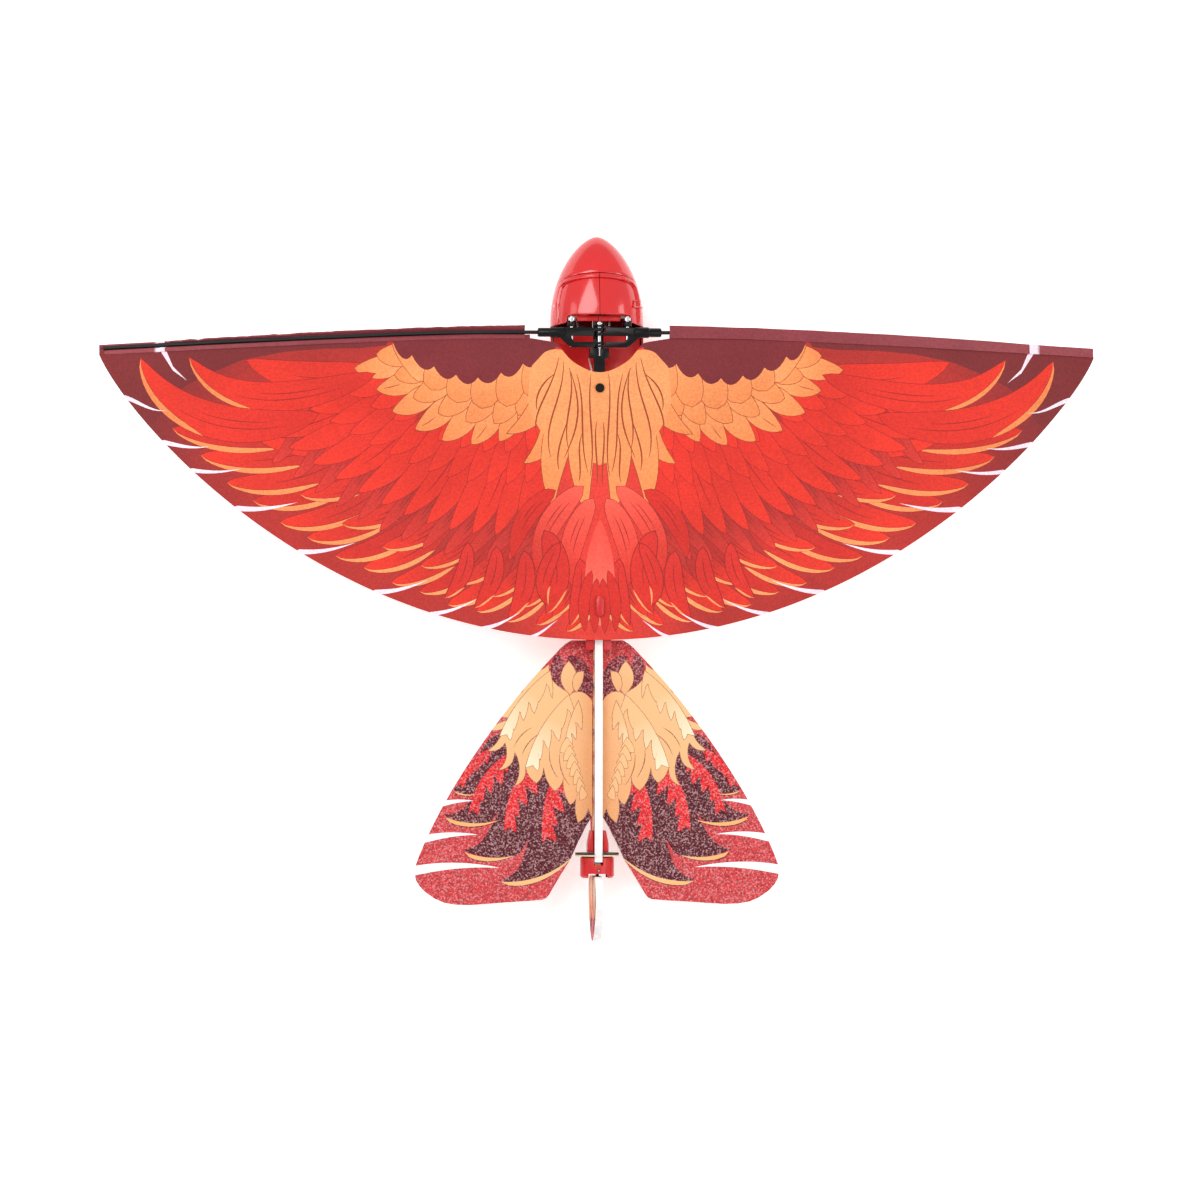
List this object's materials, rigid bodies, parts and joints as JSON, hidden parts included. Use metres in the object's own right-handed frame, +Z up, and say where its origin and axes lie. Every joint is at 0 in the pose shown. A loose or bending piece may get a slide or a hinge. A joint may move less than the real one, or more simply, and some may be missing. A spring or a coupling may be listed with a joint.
{
  "type": "flapping wing bird toy",
  "caption": "Bird-shaped flapping-wing flyer: glossy moulded body, crank-driven cloth wing on carbon spars, foam tail with keel and a magnet-driven rudder.",
  "frame": {"origin": "on the ground under the middle of the bounding box, on the centre plane; the wing hinge axle runs along Y through X 0, Z 37.5 mm", "axes": "+X to the bird's right (along the right wing), +Y towards the beak along the hinge axle, +Z up"},
  "size_m": [0.5, 0.354, 0.0413],
  "materials": {
    "shell_red": "gloss",
    "nylon_black": "satin",
    "pin_steel": "polished",
    "carbon_rod": "satin",
    "wing_cloth": "printed ripstop, matte",
    "tail_foam": "printed expanded-bead foam, matte",
    "gear_nylon": "satin",
    "coil_copper": "satin",
    "board_black": "satin",
    "board_green": "satin",
    "battery_foil": "satin",
    "connector_white": "matte",
    "wire_white": "matte",
    "magnet_nickel": "polished"
  },
  "bodies": {
    "body": {"shell_left": "shell_red", "shell_right": "shell_red", "nose_cap": "shell_red", "gearbox_frame": "nylon_black", "hinge_axle": "pin_steel", "crank_axle_left": "pin_steel", "crank_axle_right": "pin_steel", "idler_axle": "pin_steel", "motor_can": "pin_steel", "shell_screw_left_upper": "pin_steel", "shell_screw_left_lower": "pin_steel", "shell_screw_right_upper": "pin_steel", "shell_screw_right_lower": "pin_steel", "battery_cell": "battery_foil", "receiver_board": "board_green", "switch_body": "nylon_black", "charge_socket": "connector_white", "boom_rod": "carbon_rod", "wing_cloth_mid": "wing_cloth", "cloth_peg": "nylon_black", "tail_bracket": "shell_red", "tail_cable": "wire_white", "keel_foam": "tail_foam", "tail_foam_left": "tail_foam", "tail_foam_right": "tail_foam", "actuator_mount": "shell_red", "actuator_board": "board_black", "actuator_cup": "shell_red", "actuator_coil": "coil_copper", "rudder_pin": "pin_steel"},
    "wing_left": {"lever_left": "nylon_black", "lever_pin_left": "pin_steel", "spar_left": "carbon_rod", "wing_cloth_left": "wing_cloth"},
    "wing_right": {"lever_right": "nylon_black", "lever_pin_right": "pin_steel", "spar_right": "carbon_rod", "wing_cloth_right": "wing_cloth"},
    "rod_left": {"con_rod_left": "nylon_black"},
    "rod_right": {"con_rod_right": "nylon_black"},
    "crank_left": {"crank_gear_left": "gear_nylon", "crank_pin_left": "pin_steel"},
    "crank_right": {"crank_gear_right": "gear_nylon", "crank_pin_right": "pin_steel"},
    "idler": {"idler_gear": "gear_nylon"},
    "pinion": {"motor_pinion": "pin_steel"},
    "rudder": {"rudder_carrier": "nylon_black", "rudder_magnet": "magnet_nickel", "rudder_foam": "tail_foam"},
    "switch": {"switch_knob": "nylon_black"}
  },
  "joints": [
    {"name": "flap_left", "type": "hinge", "parent": "body", "child": "wing_left", "pos_m": [0, 0.1275, 0.0375], "axis": [0, 1, 0], "range_deg": [-18, 30]},
    {"name": "flap_right", "type": "hinge", "parent": "body", "child": "wing_right", "pos_m": [0, 0.1275, 0.0375], "axis": [0, -1, 0], "range_deg": [-18, 30]},
    {"name": "rod_pivot_left", "type": "hinge", "parent": "wing_left", "child": "rod_left", "pos_m": [-0.014, 0.1325, 0.0375], "axis": [0, 1, 0], "range_deg": [-32, 20]},
    {"name": "rod_pivot_right", "type": "hinge", "parent": "wing_right", "child": "rod_right", "pos_m": [0.014, 0.1325, 0.0375], "axis": [0, -1, 0], "range_deg": [-32, 20]},
    {"name": "crank_turn_left", "type": "hinge", "parent": "body", "child": "crank_left", "pos_m": [-0.0105, 0.1365, 0.0212], "axis": [0, 1, 0], "range_deg": [-38, 62]},
    {"name": "crank_turn_right", "type": "hinge", "parent": "body", "child": "crank_right", "pos_m": [0.0105, 0.1365, 0.0212], "axis": [0, -1, 0], "range_deg": [-38, 62]},
    {"name": "idler_turn", "type": "hinge", "parent": "body", "child": "idler", "pos_m": [0.0035, 0.1385, 0.01025], "axis": [0, -1, 0], "range_deg": [-260, 160]},
    {"name": "pinion_turn", "type": "hinge", "parent": "body", "child": "pinion", "pos_m": [-0.00339, 0.1385, 0.01714], "axis": [0, -1, 0], "range_deg": [-520, 860]},
    {"name": "rudder_swing", "type": "hinge", "parent": "body", "child": "rudder", "pos_m": [0, -0.141, 0.0245], "axis": [0, 0, 1], "range_deg": [-25, 25], "stiffness_Nm_per_rad": 0.0005},
    {"name": "switch_slide", "type": "slide", "parent": "body", "child": "switch", "axis": [0, 1, 0], "range_m": [0, 0.003]}
  ],
  "couplings": [
    {"joint": "flap_right", "follows": "flap_left", "ratio": 1},
    {"joint": "rod_pivot_left", "follows": "flap_left", "ratio": -1.0366},
    {"joint": "rod_pivot_right", "follows": "flap_left", "ratio": -1.0366},
    {"joint": "crank_turn_left", "follows": "flap_left", "ratio": 2.0162},
    {"joint": "crank_turn_right", "follows": "flap_left", "ratio": 2.0162},
    {"joint": "idler_turn", "follows": "flap_left", "ratio": -8.468},
    {"joint": "pinion_turn", "follows": "flap_left", "ratio": 28.227}
  ]
}
